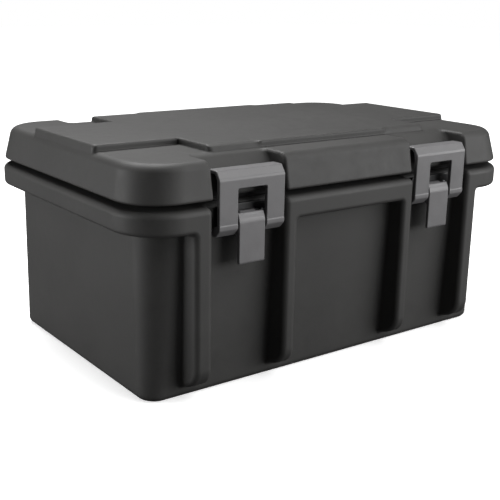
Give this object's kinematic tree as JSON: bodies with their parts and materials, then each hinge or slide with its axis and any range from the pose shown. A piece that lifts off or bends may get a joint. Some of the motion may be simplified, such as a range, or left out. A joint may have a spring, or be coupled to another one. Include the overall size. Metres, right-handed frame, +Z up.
{
  "type": "insulated food carrier",
  "caption": "Top-loading insulated food pan carrier: foam-filled double-wall tub with upright ribs, hinged lid with raised panel, and draw latches along the front.",
  "frame": {"origin": "centre of the underside, on the surface it stands on", "axes": "+X along the length to the right of the latched front, +Y to the hinged back, +Z up"},
  "size_m": [0.665, 0.455, 0.3185],
  "materials": {
    "moulded_shell": "rotomoulded polyethylene, fine even texture, soft sheen",
    "latch_nylon": "injection-moulded nylon, satin",
    "black_plastic": "injection-moulded, satin",
    "foam": null,
    "seal": "soft matt rubber",
    "steel": "stainless, satin"
  },
  "bodies": {
    "tub": {"body_shell": "moulded_shell", "body_foam": "foam", "body_fill_plug": "black_plastic", "left_latch_bracket": "black_plastic", "left_latch_lever_pin": "steel", "left_bracket_screw_1": "steel", "left_bracket_screw_2": "steel", "left_hinge_body_leaf": "black_plastic", "left_hinge_pin": "steel", "left_hinge_body_screw_1": "steel", "left_hinge_body_screw_2": "steel", "right_latch_bracket": "black_plastic", "right_latch_lever_pin": "steel", "right_bracket_screw_1": "steel", "right_bracket_screw_2": "steel", "right_hinge_body_leaf": "black_plastic", "right_hinge_pin": "steel", "right_hinge_body_screw_1": "steel", "right_hinge_body_screw_2": "steel"},
    "lid": {"lid_shell": "moulded_shell", "lid_foam": "foam", "lid_fill_plug": "black_plastic", "lid_gasket": "seal", "left_hinge_lid_leaf": "black_plastic", "left_hinge_lid_screw_1": "steel", "left_hinge_lid_screw_2": "steel", "right_hinge_lid_leaf": "black_plastic", "right_hinge_lid_screw_1": "steel", "right_hinge_lid_screw_2": "steel"},
    "left_lever": {"left_latch_lever": "latch_nylon"},
    "left_link": {"left_latch_link_pin": "steel"},
    "left_loop": {"left_latch_loop": "latch_nylon"},
    "right_lever": {"right_latch_lever": "latch_nylon"},
    "right_link": {"right_latch_link_pin": "steel"},
    "right_loop": {"right_latch_loop": "latch_nylon"}
  },
  "joints": [
    {"name": "lid_hinge", "type": "hinge", "parent": "tub", "child": "lid", "pos_m": [0, 0.221, 0.258], "axis": [-1, 0, 0], "range_deg": [0, 110]},
    {"name": "left_lever_pivot", "type": "hinge", "parent": "tub", "child": "left_lever", "pos_m": [-0.1695, -0.213, 0.236], "axis": [-1, 0, 0], "range_deg": [0, 95]},
    {"name": "left_link_pivot", "type": "hinge", "parent": "left_lever", "child": "left_link", "pos_m": [-0.1695, -0.2145, 0.2195], "axis": [1, 0, 0], "range_deg": [0, 80]},
    {"name": "left_loop_swing", "type": "hinge", "parent": "left_link", "child": "left_loop", "pos_m": [-0.1695, -0.2145, 0.2195], "axis": [1, 0, 0], "range_deg": [0, 150]},
    {"name": "right_lever_pivot", "type": "hinge", "parent": "tub", "child": "right_lever", "pos_m": [0.1695, -0.213, 0.236], "axis": [-1, 0, 0], "range_deg": [0, 95]},
    {"name": "right_link_pivot", "type": "hinge", "parent": "right_lever", "child": "right_link", "pos_m": [0.1695, -0.2145, 0.2195], "axis": [1, 0, 0], "range_deg": [0, 80]},
    {"name": "right_loop_swing", "type": "hinge", "parent": "right_link", "child": "right_loop", "pos_m": [0.1695, -0.2145, 0.2195], "axis": [1, 0, 0], "range_deg": [0, 150]}
  ],
  "couplings": [
    {"joint": "left_link_pivot", "follows": "left_lever_pivot", "ratio": 0.78},
    {"joint": "right_link_pivot", "follows": "right_lever_pivot", "ratio": 0.78}
  ]
}
